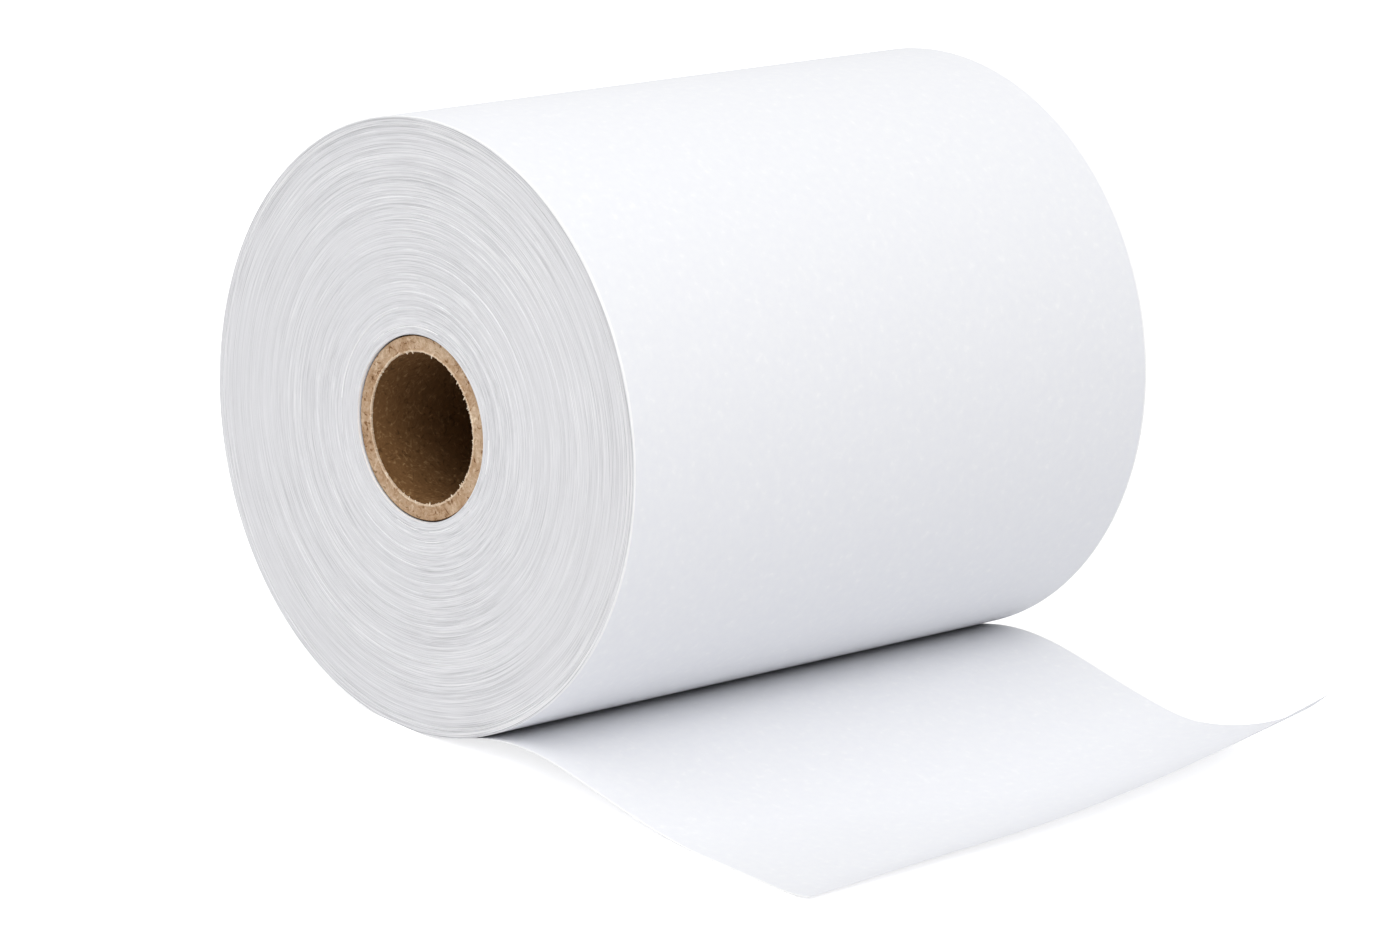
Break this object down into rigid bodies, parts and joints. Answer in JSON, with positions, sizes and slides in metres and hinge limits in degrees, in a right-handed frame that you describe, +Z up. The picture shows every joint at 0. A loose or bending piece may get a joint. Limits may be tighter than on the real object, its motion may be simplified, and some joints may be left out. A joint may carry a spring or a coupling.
{
  "type": "paper towel roll",
  "caption": "Hard-wound white paper roll on a kraft tube, lying on its side, with the end of the web drawn out as a loose sheet; feeds paper from a spindle through its bore.",
  "frame": {"origin": "on the table, in the middle of the flat that the roll rests on, below the middle of its axis", "axes": "+Y along the roll's axis, away from the end that the picture shows; +X the way the loose web runs; +Z up"},
  "size_m": [0.2541, 0.2042, 0.1735],
  "materials": {
    "white_paper": "matt, smooth bleached web",
    "kraft_board": "matt, fibrous kraft board"
  },
  "bodies": {
    "root": {"paper": "white_paper", "core": "kraft_board"}
  },
  "joints": []
}
